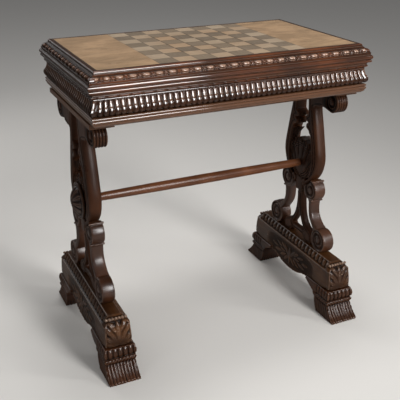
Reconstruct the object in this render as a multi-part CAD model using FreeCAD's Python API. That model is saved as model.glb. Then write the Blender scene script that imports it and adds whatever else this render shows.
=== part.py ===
import FreeCAD, Part
import math
import os
from FreeCAD import Vector

# Carved lyre-end games table. The moulded lid carries an inlaid chessboard and is hinged along the
# back over a shallow well for the men. Millimetres, +Z up. The origin is on the floor under the
# middle of the table, +X runs along the stretcher, the player's long side faces -Y.
# Front and back are -Y and +Y, left and right are -X and +X.

# Chessboard and the flat field round it
squares_per_side = 8
square_size = 45.0
border_width = 5.0
side_panel_width = 137.5
veneer_thickness = 2.0

# Lid
table_height = 740.0
lid_thickness = 55.5
lid_projection = 25.5
lid_panel_thickness = 18.0
lid_ledge_width = 14.0
lid_gap = 0.3

# Frieze box and the reeded base moulding under it
frieze_height = 39.2
frieze_projection = 20.5
frieze_inset = 6.0
base_height = 21.5
base_projection = 18.0
base_ledge_width = 40.0
well_floor_thickness = 10.0
corner_block_leg = 22.0
corner_block_drop = 6.0

# Butt hinges
hinge_length = 60.0
hinge_spacing = 400.0
hinge_leaf_depth = 18.5
hinge_leaf_thickness = 1.5
hinge_barrel_radius = 4.0
hinge_axis_setback = 4.5
hinge_pin_radius = 1.9
hinge_pin_clearance = 0.05
hinge_knuckle_gap = 0.3
hinge_swing_gap = 0.4
hinge_knuckles = 3
hinge_screws_per_leaf = 3
hinge_screw_head_radius = 2.6
hinge_screw_shank_radius = 1.3
hinge_screw_length = 11.0

# Lyre ends
end_inset = 11.5
end_thickness = 34.0
cleat_width = 56.0
cleat_length = 340.0
cleat_thickness = 11.0
cleat_screw_head_radius = 4.5
cleat_screw_shank_radius = 2.25
cleat_screw_length = 18.0
cleat_screw_edge = 10.0
lyre_half_width = 84.0
corbel_reach = 157.0
corbel_radius = 27.0
corbel_throat_angle = 80.0
boss_radius = 46.0
boss_rim = 5.0
boss_dome_radius = 37.0
boss_projection = 22.0

# Scrolls and wishbone between the lyre and the runner
scroll_top_radius = 30.0
scroll_foot_radius = 33.0
scroll_bed = 8.9
scroll_toe_gap = 4.0
scroll_seat = 0.5
wishbone_height = 143.0
wishbone_half_spread = 73.0
dowel_radius = 4.0
dowel_length = 36.0

# Runner beam and feet
foot_height = 82.0
foot_reach = 239.0
foot_half_width = 40.5
foot_band_half_width = 41.5
beam_height = 75.0
beam_half_length = 205.0
beam_half_width = 35.5

# Stretcher
stretcher_radius = 12.5
stretcher_end_radius = 10.0
stretcher_tenon_radius = 7.5
stretcher_tenon_length = 20.0

# One overrun for every cutting tool
overrun = 5.0

# Heights and lengths that follow from the sizes above
board_half = squares_per_side * square_size / 2
field_half_length = board_half + side_panel_width + border_width
field_half_depth = board_half + border_width
lid_bottom = table_height - lid_thickness
panel_top = table_height - veneer_thickness
panel_bottom = panel_top - lid_panel_thickness
frieze_top = lid_bottom - lid_gap
frieze_bottom = frieze_top - frieze_height
base_bottom = frieze_bottom - base_height
lyre_top = base_bottom - cleat_thickness
beam_top = foot_height + beam_height
lyre_bottom = beam_top + wishbone_height
lyre_height = lyre_top - lyre_bottom
end_centre = field_half_length - end_inset
end_inner = end_centre - end_thickness / 2
end_outer = end_centre + end_thickness / 2

# Moulding outlines, as shares of the projection beyond the field and of the drop from the top
lid_profile_shares = (
    ("to", (0.000, 0.000)),
    ("arc", (0.196, 0.024), (0.235, 0.108)),
    ("to", (0.333, 0.126)),
    ("to", (0.412, 0.180)),
    ("arc", (0.675, 0.225), (0.765, 0.342)),
    ("to", (0.824, 0.342)),
    ("to", (0.824, 0.450)),
    ("arc", (1.000, 0.553), (0.824, 0.650)),
    ("arc", (0.941, 0.712), (0.824, 0.775)),
    ("arc", (0.667, 0.800), (0.627, 0.900)),
    ("arc", (0.640, 0.940), (0.588, 0.975)),
    ("to", (0.510, 1.000)),
)
frieze_profile_shares = (
    ("to", (0.610, 0.000)),
    ("to", (0.610, 0.077)),
    ("arc", (0.690, 0.310), (0.900, 0.510)),
    ("arc", (1.000, 0.690), (0.760, 1.000)),
)
base_profile_shares = (
    ("to", (0.861, 0.000)),
    ("arc", (1.000, 0.128), (0.861, 0.256)),
    ("to", (0.861, 0.279)),
    ("arc", (1.000, 0.442), (0.861, 0.605)),
    ("to", (0.889, 0.628)),
    ("to", (0.833, 0.791)),
    ("to", (0.500, 1.000)),
)

# Lyre outlines, as shares of the half width and of the height above the lyre's bottom
arm_outer_shares = (
    (0.190, 0.010), (0.286, 0.054), (0.452, 0.102), (0.631, 0.141), (0.833, 0.202), (0.964, 0.285),
    (1.000, 0.346), (0.976, 0.410), (0.893, 0.512), (0.750, 0.672), (0.667, 0.758), (0.640, 0.800),
)
arm_upper_inner_shares = ((0.262, 1.000), (0.298, 0.912), (0.333, 0.819), (0.345, 0.730))
arm_crocket_shares = ((0.048, 0.685), (0.369, 0.656), (0.048, 0.621), (0.429, 0.589))
arm_lower_inner_shares = (
    (0.429, 0.589), (0.500, 0.563), (0.607, 0.448), (0.667, 0.336), (0.631, 0.262), (0.524, 0.192),
    (0.357, 0.147), (0.190, 0.122),
)
web_outline_shares = (
    (0.000, 0.499), (0.083, 0.467), (0.190, 0.486), (0.262, 0.442), (0.393, 0.467), (0.440, 0.416),
    (0.595, 0.435), (0.774, 0.416), (0.821, 0.320), (0.762, 0.240), (0.595, 0.170), (0.357, 0.112),
    (0.190, 0.064), (0.190, 0.000),
)
# Crown of the hollow between arm and corbel, as shares of the way out to the corbel and of its radius
crotch_shares = (0.42, 0.05)
stretcher_height_share = 0.267

# Scroll outlines: the bed of the upper eye as a share of the lyre's half width, and the strap in shares
# of the way out from one eye to the other and of the clear height between them
scroll_bed_share = 0.532
strap_front_shares = ((0.270, 1.130), (0.192, 0.720), (0.269, 0.397), (0.538, 0.163), (0.904, -0.060))
strap_back_shares = ((0.540, -0.200), (0.231, 0.046), (0.000, 0.338), (-0.077, 0.691), (-0.115, 1.100))

# Wishbone outlines, as shares of its half spread and height
wishbone_outer_shares = (
    (0.219, 1.000), (0.199, 0.860), (0.233, 0.650), (0.370, 0.441), (0.616, 0.301), (0.904, 0.224),
    (1.000, 0.154),
)
wishbone_toe_shares = ((1.000, 0.084), (0.945, 0.000), (0.548, 0.000))
wishbone_arch_shares = ((0.548, 0.000), (0.384, 0.070), (0.000, 0.098))
wishbone_eye_shares = ((0.000, 0.462), (0.110, 0.322), (0.247, 0.210), (0.000, 0.182))

# Runner outlines, as shares of half length or half width and of the beam's own height
beam_side_shares = (
    (0.863, 1.000), (0.907, 0.927), (0.964, 0.840), (0.990, 0.620), (1.008, 0.260), (1.000, 0.000),
)
beam_notch_share = 0.478
beam_apron_shares = ((0.478, -0.107), (0.341, -0.147), (0.220, -0.267), (0.098, -0.320), (0.000, -0.333))
beam_section_shares = (
    (0.535, 1.000), (0.901, 0.760), (0.944, 0.760), (0.944, 0.727), (0.915, 0.713), (1.000, -0.400),
)

# Foot outlines, as shares of the reach or half width and of the foot's height
foot_side_shares = (
    ("to", (0.862, 1.000)),
    ("arc", (0.887, 0.817), (0.866, 0.659)),
    ("arc", (0.883, 0.585), (0.870, 0.512)),
    ("arc", (0.922, 0.268), (1.000, 0.073)),
    ("to", (1.000, 0.000)),
    ("to", (0.657, 0.000)),
    ("arc", (0.612, 0.268), (0.598, 0.525)),
)
foot_front_shares = (
    ("to", (0.916, 1.000)),
    ("arc", (1.000, 0.817), (0.928, 0.659)),
    ("arc", (0.976, 0.585), (0.928, 0.512)),
)
# Middle of the arch from the heel to the beam's notch, as shares of the way there and of the rise
foot_arch_shares = (0.457, 0.645)

# Place of a dowel in the wishbone's toe, as a share of its half spread
dowel_place_share = 0.78


def path(start, steps):
    """Edges from a start point through lines and three-point arcs."""
    edges = []
    here = start
    for step in steps:
        there = step[-1]
        if step[0] == "arc":
            edges.append(Part.Arc(here, step[1], there).toShape())
        else:
            edges.append(Part.LineSegment(here, there).toShape())
        here = there
    return edges


def line(points):
    """Straight edges through points."""
    return [Part.LineSegment(a, b).toShape() for a, b in zip(points, points[1:])]


def spline(points):
    """One smooth edge through points."""
    curve = Part.BSplineCurve()
    curve.interpolate(points)
    return curve.toShape()


def prism(edges, direction):
    """Closed outline pushed along a direction."""
    face = Part.Face(Part.Wire(Part.__sortEdges__(edges)))
    return face.extrude(direction)


def box(low, high):
    """Block between two corners."""
    size = high - low
    return Part.makeBox(size.x, size.y, size.z, low)


def in_end(v, z):
    """Point of a lyre end's outline: v is the distance in front of the middle, z the height."""
    return Vector(end_inner, -v, z)


def across_end(edges):
    """Outline of a lyre end pushed through the end's thickness."""
    return prism(edges, Vector(end_thickness, 0, 0))


def to_back(shape):
    """The same piece on the back side."""
    return shape.mirror(Vector(0, 0, 0), Vector(0, 1, 0))


def to_left(shape):
    """The same piece at the left end."""
    return shape.mirror(Vector(0, 0, 0), Vector(1, 0, 0))


def save(name, *solids):
    """Writes one node, a single solid or a group of separate ones."""
    shape = solids[0] if len(solids) == 1 else Part.makeCompound(list(solids))
    shape.exportStep("parts/" + name + ".step")


def profile_steps(shares, projection, height, top, place):
    """Turns a moulding's table of shares into steps of real points."""
    steps = []
    for step in shares:
        points = [place(projection * out, top - height * drop) for out, drop in step[1:]]
        steps.append((step[0], *points))
    return steps


def mitred_sides(shares, projection, height, top, inner_points):
    """Front, back, left and right lengths of a moulding round the field, mitred at the corners."""
    inner = max(-out for out, _ in inner_points)
    sides = {}
    for name, half, other in (("front", field_half_length, field_half_depth),
                              ("left", field_half_depth, field_half_length)):
        long_end = half + projection + overrun
        place = lambda out, z: Vector(-long_end, -other - out, z)
        steps = profile_steps(shares, projection, height, top, place)
        start = steps[0][1]
        rest = [("to", place(out, z)) for out, z in inner_points] + [("to", start)]
        bar = prism(path(start, steps[1:] + rest), Vector(2 * long_end, 0, 0))
        reach = projection + overrun
        back = inner + overrun
        corners = [Vector(-half - reach, -other - reach, 0), Vector(half + reach, -other - reach, 0),
                   Vector(half - back, -other + back, 0), Vector(-half + back, -other + back, 0)]
        wedge = prism(line(corners + corners[:1]), Vector(0, 0, table_height))
        piece = bar.common(wedge)
        if name == "left":
            piece = piece.rotated(Vector(0, 0, 0), Vector(0, 0, 1), -90)
        sides[name] = piece
    sides["back"] = to_back(sides["front"])
    sides["right"] = to_left(sides["left"])
    return sides


def make_field():
    """Core panel, chess squares, plain side veneers and the dark border strips."""
    panel = box(Vector(-field_half_length, -field_half_depth, panel_bottom),
                Vector(field_half_length, field_half_depth, panel_top))
    save("lid_panel", panel)
    squares = {"light": [], "dark": []}
    for column in range(squares_per_side):
        for row in range(squares_per_side):
            low = Vector(column * square_size - board_half, row * square_size - board_half, panel_top)
            tile = Part.makeBox(square_size, square_size, veneer_thickness, low)
            squares["light" if (column + row) % 2 else "dark"].append(tile)
    save("board_light_squares", *squares["light"])
    save("board_dark_squares", *squares["dark"])
    right = box(Vector(board_half, -board_half, panel_top),
                Vector(field_half_length - border_width, board_half, table_height))
    save("veneer_panel_right", right)
    save("veneer_panel_left", to_left(right))
    front = box(Vector(-field_half_length, -field_half_depth, panel_top),
                Vector(field_half_length, -board_half, table_height))
    side = box(Vector(field_half_length - border_width, -board_half, panel_top),
               Vector(field_half_length, board_half, table_height))
    save("field_border_strips", front, to_back(front), side, to_left(side))


def hinge_axis():
    """Point on the lid's turning line above the middle of the back, clear of the lid's lower edge."""
    neck = frieze_projection * frieze_profile_shares[0][1][0]
    edge = lid_projection * lid_profile_shares[-2][-1][0]
    back = field_half_depth + max(neck, edge)
    return Vector(0, back + hinge_axis_setback, frieze_top + lid_gap / 2)


def screw(point, direction, head_radius, shank_radius, length):
    """Countersunk wood screw with its head flush at the point."""
    head_depth = head_radius - shank_radius
    head = Part.makeCone(head_radius, shank_radius, head_depth, point, direction)
    shank = Part.makeCylinder(shank_radius, length - head_depth, point + direction * head_depth, direction)
    return head.fuse(shank).removeSplitter()


def make_hinge(middle):
    """One butt hinge at a place along the back: frame leaf, lid leaf, pin and both sets of screws."""
    axis = hinge_axis() + Vector(middle, 0, 0)
    along = Vector(1, 0, 0)
    step = hinge_length / hinge_knuckles
    start = axis - along * (hinge_length / 2)
    leaf_front = axis.y - hinge_axis_setback - hinge_leaf_depth
    bore = hinge_pin_radius + hinge_pin_clearance
    swing = hinge_barrel_radius + hinge_swing_gap
    leaves = {}
    for name, low, high, mine in (("frame", frieze_top - hinge_leaf_thickness, frieze_top, 0),
                                  ("lid", lid_bottom, lid_bottom + hinge_leaf_thickness, 1)):
        leaf = box(Vector(start.x, leaf_front, low), Vector(start.x + hinge_length, axis.y, high))
        for index in range(hinge_knuckles):
            at = start + along * (step * index)
            if index % 2 == mine:
                low_gap = hinge_knuckle_gap / 2 if index else 0
                high_gap = hinge_knuckle_gap / 2 if index < hinge_knuckles - 1 else 0
                knuckle = Part.makeCylinder(hinge_barrel_radius, step - low_gap - high_gap,
                                            at + along * low_gap, along)
                leaf = leaf.fuse(knuckle)
            else:
                low_gap = hinge_knuckle_gap / 2 if index else overrun
                high_gap = hinge_knuckle_gap / 2 if index < hinge_knuckles - 1 else overrun
                notch = box(Vector(at.x - low_gap, axis.y - swing, axis.z - swing),
                            Vector(at.x + step + high_gap, axis.y + swing, axis.z + swing))
                leaf = leaf.cut(notch)
        leaf = leaf.cut(Part.makeCylinder(bore, hinge_length + 2 * overrun, start - along * overrun, along))
        leaves[name] = leaf.removeSplitter()
    screws = {"frame": [], "lid": []}
    pitch = hinge_length / hinge_screws_per_leaf
    for index in range(hinge_screws_per_leaf):
        x = start.x + pitch * (index + 1) - pitch / 2
        y = leaf_front + hinge_leaf_depth / 2
        for name, z, way in (("frame", frieze_top, Vector(0, 0, -1)), ("lid", lid_bottom, Vector(0, 0, 1))):
            one = screw(Vector(x, y, z), way, hinge_screw_head_radius, hinge_screw_shank_radius,
                        hinge_screw_length)
            leaves[name] = leaves[name].cut(one)
            screws[name].append(one)
    pin = Part.makeCylinder(hinge_pin_radius, hinge_length, start, along)
    return leaves, screws, pin


def make_box_and_lid():
    """Lid mouldings, frieze rails, base mouldings, well floor, corner blocks and hinges."""
    lid = mitred_sides(lid_profile_shares, lid_projection, lid_thickness, table_height,
                       ((-lid_ledge_width, lid_bottom), (-lid_ledge_width, panel_bottom), (0, panel_bottom)))
    frieze = mitred_sides(frieze_profile_shares, frieze_projection, frieze_height, frieze_top,
                          ((-frieze_inset, frieze_bottom), (-frieze_inset, frieze_top)))
    floor_bottom = frieze_bottom - well_floor_thickness
    base = mitred_sides(base_profile_shares, base_projection, base_height, frieze_bottom,
                        ((-base_ledge_width, base_bottom), (-base_ledge_width, floor_bottom),
                         (-frieze_inset, floor_bottom), (-frieze_inset, frieze_bottom)))
    groups = {"frame": [], "lid": [], "pins": [], "frame_screws": [], "lid_screws": []}
    for middle in (-hinge_spacing / 2, hinge_spacing / 2):
        leaves, screws, pin = make_hinge(middle)
        for name, side in (("frame", frieze), ("lid", lid)):
            groups[name].append(leaves[name])
            groups[name + "_screws"] += screws[name]
            side["back"] = side["back"].cut(leaves[name])
            for one in screws[name]:
                side["back"] = side["back"].cut(one)
        groups["pins"].append(pin)
    save("hinge_frame_leaves", *groups["frame"])
    save("hinge_lid_leaves", *groups["lid"])
    save("hinge_pins", *groups["pins"])
    save("hinge_frame_screws", *groups["frame_screws"])
    save("hinge_lid_screws", *groups["lid_screws"])
    well_x = field_half_length - frieze_inset
    well_y = field_half_depth - frieze_inset
    save("well_floor", box(Vector(-well_x, -well_y, floor_bottom), Vector(well_x, well_y, frieze_bottom)))
    corner = Vector(well_x, -well_y, frieze_bottom)
    block_edges = line([corner, corner - Vector(corner_block_leg, 0, 0),
                        corner + Vector(0, corner_block_leg, 0), corner])
    block = prism(block_edges, Vector(0, 0, frieze_height - corner_block_drop))
    save("corner_blocks", block, to_back(block), to_left(block), to_left(to_back(block)))
    return lid, frieze, base


def lyre_point(share):
    """Point of a lyre outline from its shares."""
    v, z = share
    return in_end(lyre_half_width * v, lyre_bottom + lyre_height * z)


def make_arm():
    """Front arm of the right lyre: corbel volute at the top, bowed arm, leaf crockets inside."""
    eye = in_end(corbel_reach - corbel_radius, lyre_top - corbel_radius)
    turned = lambda angle: eye + Vector(0, math.cos(angle), -math.sin(angle)) * corbel_radius
    throat = math.radians(corbel_throat_angle)
    front = math.pi
    outer = [lyre_point(share) for share in arm_outer_shares]
    upper = [lyre_point(share) for share in arm_upper_inner_shares]
    crockets = [lyre_point(share) for share in arm_crocket_shares]
    lower = [lyre_point(share) for share in arm_lower_inner_shares]
    way = turned(throat).y - outer[-1].y
    crown = Vector(end_inner, outer[-1].y + way * crotch_shares[0],
                   turned(throat).z + corbel_radius * crotch_shares[1])
    volute = [
        ("arc", crown, turned(throat)),
        ("arc", turned(front), turned(front * 3 / 2)),
        ("to", upper[0]),
    ]
    edges = [spline(outer)] + path(outer[-1], volute) + [spline(upper)]
    edges += line(upper[-1:] + crockets) + [spline(lower)] + line([lower[-1], outer[0]])
    return across_end(edges)


def make_web(arms):
    """Carved leaf plate in the lyre's bowl, fitted between the arms."""
    half = [lyre_point(share) for share in web_outline_shares]
    other = [Vector(p.x, -p.y, p.z) for p in reversed(half)]
    web = across_end(line(half + other[:-1] + half[:1]))
    for arm in arms:
        web = web.cut(arm)
    return web


def scroll_top_eye():
    """Middle of a scroll's upper eye, square to the bowl's outer edge and let into it by the bed."""
    for low, high in zip(arm_outer_shares, arm_outer_shares[1:]):
        if low[0] <= scroll_bed_share <= high[0]:
            edge = lyre_point(high) - lyre_point(low)
            bed = lyre_point(low) + edge * ((scroll_bed_share - low[0]) / (high[0] - low[0]))
            return bed + Vector(1, 0, 0).cross(edge).normalize() * (scroll_top_radius - scroll_bed)


def make_scroll(arm):
    """Front scroll of the right end: upper eye under the lyre's bowl, strap, lower eye on the beam."""
    top_eye = scroll_top_eye()
    foot_eye = in_end(scroll_foot_place(), beam_top + scroll_foot_radius - scroll_seat)
    low = foot_eye + Vector(0, 0, scroll_foot_radius)
    high = top_eye - Vector(0, 0, scroll_top_radius)
    point = lambda share: high + Vector(0, (low.y - high.y) * share[0], (low.z - high.z) * (1 - share[1]))
    front = [point(share) for share in strap_front_shares]
    back = [point(share) for share in strap_back_shares]
    edges = [spline(front), spline(back)] + line([front[-1], back[0]]) + line([back[-1], front[0]])
    scroll = across_end(edges)
    along = Vector(1, 0, 0)
    for eye, radius in ((top_eye, scroll_top_radius), (foot_eye, scroll_foot_radius)):
        scroll = scroll.fuse(Part.makeCylinder(radius, end_thickness, eye, along))
    ground = box(Vector(0, -foot_reach, 0), Vector(2 * end_centre, 0, beam_top))
    return scroll.cut(ground).cut(arm).removeSplitter()


def scroll_foot_place():
    """Distance of a scroll's lower eye in front of the middle, clear of the wishbone's toe."""
    return wishbone_half_spread + scroll_toe_gap + scroll_foot_radius


def make_wishbone():
    """Forked stem between the lyre's bowl and the runner beam, with a pierced eye in the fork."""
    point = lambda share: in_end(wishbone_half_spread * share[0], beam_top + wishbone_height * share[1])
    flip = lambda points: [Vector(p.x, -p.y, p.z) for p in reversed(points)]
    outer = [point(share) for share in wishbone_outer_shares]
    toe = outer[-1:] + [point(share) for share in wishbone_toe_shares]
    arch = [point(share) for share in wishbone_arch_shares]
    arch = arch + flip(arch)[1:]
    edges = [spline(outer)] + line(toe) + [spline(arch)] + line(flip(toe)) + [spline(flip(outer))]
    edges += line([flip(outer)[-1], outer[0]])
    eye = [point(share) for share in wishbone_eye_shares]
    eye = eye + flip(eye)[1:]
    return across_end(edges).cut(across_end(line(eye)))


def make_beam():
    """Runner beam: its side outline crossed with its moulded section."""
    side = lambda share: Vector(0, -beam_half_length * share[0], foot_height + beam_height * share[1])
    flip = lambda points: [Vector(p.x, -p.y, p.z) for p in reversed(points)]
    end = [side(share) for share in beam_side_shares]
    apron = [side(share) for share in beam_apron_shares]
    end += [side((beam_notch_share, 0)), apron[0]]
    apron = apron + flip(apron)[1:]
    edges = line(end) + [spline(apron)] + line(flip(end)) + line([flip(end)[-1], end[0]])
    across = Vector(2 * (beam_half_width + overrun), 0, 0)
    outline = prism(edges, across)
    outline.translate(Vector(end_centre - beam_half_width - overrun, 0, 0))
    section = lambda share: Vector(end_centre + beam_half_width * share[0], -beam_half_length - overrun,
                                   foot_height + beam_height * share[1])
    right = [section(share) for share in beam_section_shares]
    left = [Vector(2 * end_centre - p.x, p.y, p.z) for p in reversed(right)]
    length = Vector(0, 2 * (beam_half_length + overrun), 0)
    return outline.common(prism(line(right + left + right[:1]), length))


def make_foot():
    """Front foot: gadrooned band, rope line and flared base, its side outline crossed with its front."""
    side = lambda out, z: Vector(0, -foot_reach * out, foot_height * z)
    steps = [(s[0], *[side(*p) for p in s[1:]]) for s in foot_side_shares]
    start = steps[0][1]
    notch = beam_half_length * beam_notch_share
    seat = foot_height + beam_height * beam_apron_shares[0][1]
    heel = steps[-1][-1]
    inside = Vector(0, -notch, seat)
    arch = heel + Vector(0, (inside - heel).y * foot_arch_shares[0], (inside - heel).z * foot_arch_shares[1])
    rest = [("arc", arch, inside), ("to", Vector(0, -notch, foot_height)), ("to", start)]
    widest = max(foot_half_width, foot_band_half_width) + overrun
    outline = prism(path(start, steps[1:] + rest), Vector(2 * widest, 0, 0))
    outline.translate(Vector(end_centre - widest, 0, 0))
    front = lambda sign: lambda w, z: Vector(end_centre + sign * foot_band_half_width * w, -foot_reach - overrun,
                                             foot_height * z)
    halves = []
    for sign in (1, -1):
        turned = [(s[0], *[front(sign)(*p) for p in s[1:]]) for s in foot_front_shares]
        ground = Vector(end_centre + sign * foot_half_width, -foot_reach - overrun, 0)
        halves.append((turned[0][1], path(turned[0][1], turned[1:] + [("to", ground)]), ground))
    edges = halves[0][1] + halves[1][1]
    edges += line([halves[0][0], halves[1][0]]) + line([halves[0][2], halves[1][2]])
    return outline.common(prism(edges, Vector(0, foot_reach + overrun, 0)))


def make_boss(height):
    """Round carved boss on the outer face of the lyre: a flat rim and a ball-shaped dome on it."""
    along = Vector(1, 0, 0)
    rise = boss_projection - boss_rim
    ball = (boss_dome_radius ** 2 + rise ** 2) / (2 * rise)
    half_turn = math.acos((ball - rise) / ball) / 2
    middle = Vector(end_outer, 0, height)
    crown = middle + along * boss_projection
    centre = crown - along * ball
    shoulder = centre + Vector(ball * math.cos(half_turn), 0, ball * math.sin(half_turn))
    foot = middle + Vector(boss_rim, 0, boss_dome_radius)
    rim = middle + Vector(0, 0, boss_radius)
    edges = line([crown, middle, rim, rim + along * boss_rim, foot])
    edges.append(Part.Arc(foot, shoulder, crown).toShape())
    return Part.Face(Part.Wire(Part.__sortEdges__(edges))).revolve(middle, along, 360)


def make_stretcher(height):
    """Round rail swelled in the middle, with a turned tenon at each end."""
    shoulder = Vector(-end_inner, 0, height)
    tip = shoulder - Vector(stretcher_tenon_length, 0, 0)
    up = lambda point, radius: point + Vector(0, 0, radius)
    right = lambda point: Vector(-point.x, point.y, point.z)
    outline = [tip, up(tip, stretcher_tenon_radius), up(shoulder, stretcher_tenon_radius),
               up(shoulder, stretcher_end_radius)]
    swell = Part.Arc(outline[-1], Vector(0, 0, height + stretcher_radius), right(outline[-1])).toShape()
    edges = line(outline) + [swell] + line([right(p) for p in reversed(outline)]) + line([right(tip), tip])
    return Part.Face(Part.Wire(Part.__sortEdges__(edges))).revolve(shoulder, Vector(1, 0, 0), 360)


def make_ends(base):
    """Both lyre ends on their runners, with the stretcher between them, and their fixings."""
    arm = make_arm()
    arms = [arm, to_back(arm)]
    web = make_web(arms)
    scroll = make_scroll(arm)
    wishbone = make_wishbone()
    beam = make_beam()
    foot = make_foot()
    height = lyre_bottom + lyre_height * stretcher_height_share
    stretcher = make_stretcher(height)
    save("stretcher", stretcher)
    web = web.cut(stretcher)
    cleat = box(Vector(end_centre - cleat_width / 2, -cleat_length / 2, lyre_top),
                Vector(end_centre + cleat_width / 2, cleat_length / 2, base_bottom))
    screws = []
    for y in (-cleat_length / 2 + cleat_screw_edge, 0, cleat_length / 2 - cleat_screw_edge):
        one = screw(Vector(end_centre, y, lyre_top), Vector(0, 0, 1), cleat_screw_head_radius,
                    cleat_screw_shank_radius, cleat_screw_length)
        cleat = cleat.cut(one)
        screws += [one, to_left(one)]
    for name in base:
        for one in screws:
            base[name] = base[name].cut(one)
    save("cleat_screws", *screws)
    dowels = []
    for v in (scroll_foot_place(), wishbone_half_spread * dowel_place_share):
        one = Part.makeCylinder(dowel_radius, dowel_length,
                                Vector(end_centre, -v, beam_top - dowel_length / 2))
        for pin in (one, to_back(one)):
            beam = beam.cut(pin)
            wishbone = wishbone.cut(pin)
            dowels.append(pin)
        scroll = scroll.cut(one)
    single = {"cleat": cleat, "lyre_web": web, "boss": make_boss(height), "wishbone": wishbone,
              "runner_beam": beam}
    for name, solid in single.items():
        save(name + "_right", solid)
        save(name + "_left", to_left(solid))
    for name, solid in {"lyre_arm": arm, "scroll": scroll, "foot": foot}.items():
        for place, piece in (("front", solid), ("back", to_back(solid))):
            save(name + "_" + place + "_right", piece)
            save(name + "_" + place + "_left", to_left(piece))
    save("beam_dowels_right", *dowels)
    save("beam_dowels_left", *[to_left(pin) for pin in dowels])


os.makedirs("parts", exist_ok=True)
make_field()
lid_sides, frieze_sides, base_sides = make_box_and_lid()
make_ends(base_sides)
for side in ("front", "back", "left", "right"):
    save("lid_moulding_" + side, lid_sides[side])
    save("frieze_" + side, frieze_sides[side])
    save("base_moulding_" + side, base_sides[side])
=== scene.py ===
import math

import bpy
import numpy as np
from mathutils import Matrix, Vector


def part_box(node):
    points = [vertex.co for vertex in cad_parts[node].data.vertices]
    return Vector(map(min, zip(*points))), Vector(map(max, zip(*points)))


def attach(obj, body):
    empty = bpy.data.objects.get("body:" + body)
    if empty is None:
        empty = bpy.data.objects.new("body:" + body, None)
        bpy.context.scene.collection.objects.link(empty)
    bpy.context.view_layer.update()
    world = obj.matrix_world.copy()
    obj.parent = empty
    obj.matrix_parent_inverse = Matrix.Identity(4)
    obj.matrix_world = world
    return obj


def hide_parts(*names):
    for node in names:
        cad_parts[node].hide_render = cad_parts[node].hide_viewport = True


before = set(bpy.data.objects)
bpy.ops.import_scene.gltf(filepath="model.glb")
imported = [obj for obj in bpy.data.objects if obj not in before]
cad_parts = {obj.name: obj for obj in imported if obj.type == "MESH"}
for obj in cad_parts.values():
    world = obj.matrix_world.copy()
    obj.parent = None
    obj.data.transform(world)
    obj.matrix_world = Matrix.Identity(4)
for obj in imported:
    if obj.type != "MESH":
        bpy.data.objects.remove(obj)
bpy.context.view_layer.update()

# Looks of a carved lyre-end games table with an inlaid chessboard.
# Lengths are millimetres in the part's own frame and become metres when a mesh is made.
# Each carved piece is one closed mesh that stands for its plain solid: straight mouldings are swept
# profiles with the carving pressed into them, bosses are turned and the other pieces are sampled on a grid.
mm = 0.001
scene = bpy.context.scene


def node_box(node):
    """Lowest and highest corner of a solid, in millimetres."""
    low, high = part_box(node)
    return np.array(low) / mm, np.array(high) / mm


# Camera, fitted to the photograph's board, top and feet
camera_place = (-722.4, -1567.7, 1078.9)
camera_azimuth = -24.53
camera_elevation = 23.64
camera_roll = -0.23
focal_pixels = 714.9
image_pixels = 400
sensor_width = 36

# Lamps: place, width, height, power in watts and spread in degrees
lamp_target = (0, 0, 450)
lamps = {
    "front": ((620, -2400, 1600), 640, 1800, 15, 70),
    "right": ((2100, -1600, 1500), 250, 1500, 3.5, 70),
    "back": ((-900, 2400, 1700), 900, 1800, 6, 110),
    "overhead": ((300, 500, 4600), 1200, 1200, 60, 180),
    "fill": ((-2400, -900, 1500), 800, 1200, 6, 180),
}
world_strength = 0.20
floor_size = 24000

# Places and sizes of the solids
_, (field_half_length, field_half_depth, table_top) = node_box("field_border_strips")
board_low, board_high = node_box("board_light_squares")
square = (board_high[0] - board_low[0]) / 8
lid_low, _ = node_box("lid_moulding_front")
frieze_low, frieze_high = node_box("frieze_front")
panel_low, _ = node_box("lid_panel")
ledge_low, _ = node_box("lid_moulding_right")
well_low, _ = node_box("well_floor")
arm_low, arm_high = node_box("lyre_arm_front_right")
boss_low, boss_high = node_box("boss_right")
web_low, _ = node_box("lyre_web_right")
wishbone_low, wishbone_high = node_box("wishbone_right")
scroll_low, scroll_high = node_box("scroll_front_right")
beam_low, beam_high = node_box("runner_beam_right")
foot_low, foot_high = node_box("foot_front_right")
lid_projection = -field_half_depth - lid_low[1]
lid_thickness = table_top - lid_low[2]
lid_ledge = field_half_length - ledge_low[0]
frieze_projection = -field_half_depth - frieze_low[1]
frieze_height = frieze_high[2] - frieze_low[2]
frieze_inset = field_half_length + well_low[0]
end_centre = (arm_low[0] + arm_high[0]) / 2
end_half = (arm_high[0] - arm_low[0]) / 2
hub_height = (boss_low[2] + boss_high[2]) / 2
beam_centre = (beam_low[0] + beam_high[0]) / 2
foot_height = foot_high[2]
foot_reach = -foot_low[1]
foot_band_half = (foot_high[0] - foot_low[0]) / 2
beam_height = beam_high[2] - foot_height
beam_half_width = 35.5
corbel_radius = 27
scroll_top_radius = 30
scroll_foot_radius = 33
lyre_half_width = 84

# Mouldings: the lid and the frieze clear the let-in hinge leaves by the skin
skin = 0.2
moulding_step = 1.3
straight_limit = 1e-6
moulding_corner = 26
egg_pitch = 29.6
egg_depth = 4.4
dash_pitch = 26.6
dash_depth = 2.6
gadroon_pitch = 13.3
gadroon_depth = 4.4
# How much painted shade darkens the gadroons' lower ends, which also get a thinner coat
gadroon_dull_shade = 0.4
corner_leaf = 12

# Egg and dart, as shares of the pitch, of the way down the band and of the relief
egg_middle_share = 0.44
egg_half_width_share = 0.35
egg_half_height_share = 0.50
shell_place_share = 1.30
shell_width_share = 0.12
shell_top_share = -0.36
dart_tip_share = 0.03
dart_flare_share = 0.06
dart_end_share = 0.92
rib_height_share = 0.85
egg_fade_shares = (0.02, 0.98)
# The eggs' crowns, the shells and the darts take wear and painted highlight
egg_wear_highlight_shares = (0.3, 0.8)
shell_wear_highlight = 0.8
dart_wear_highlight = 0.5
dash_half_share = 0.44

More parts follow.
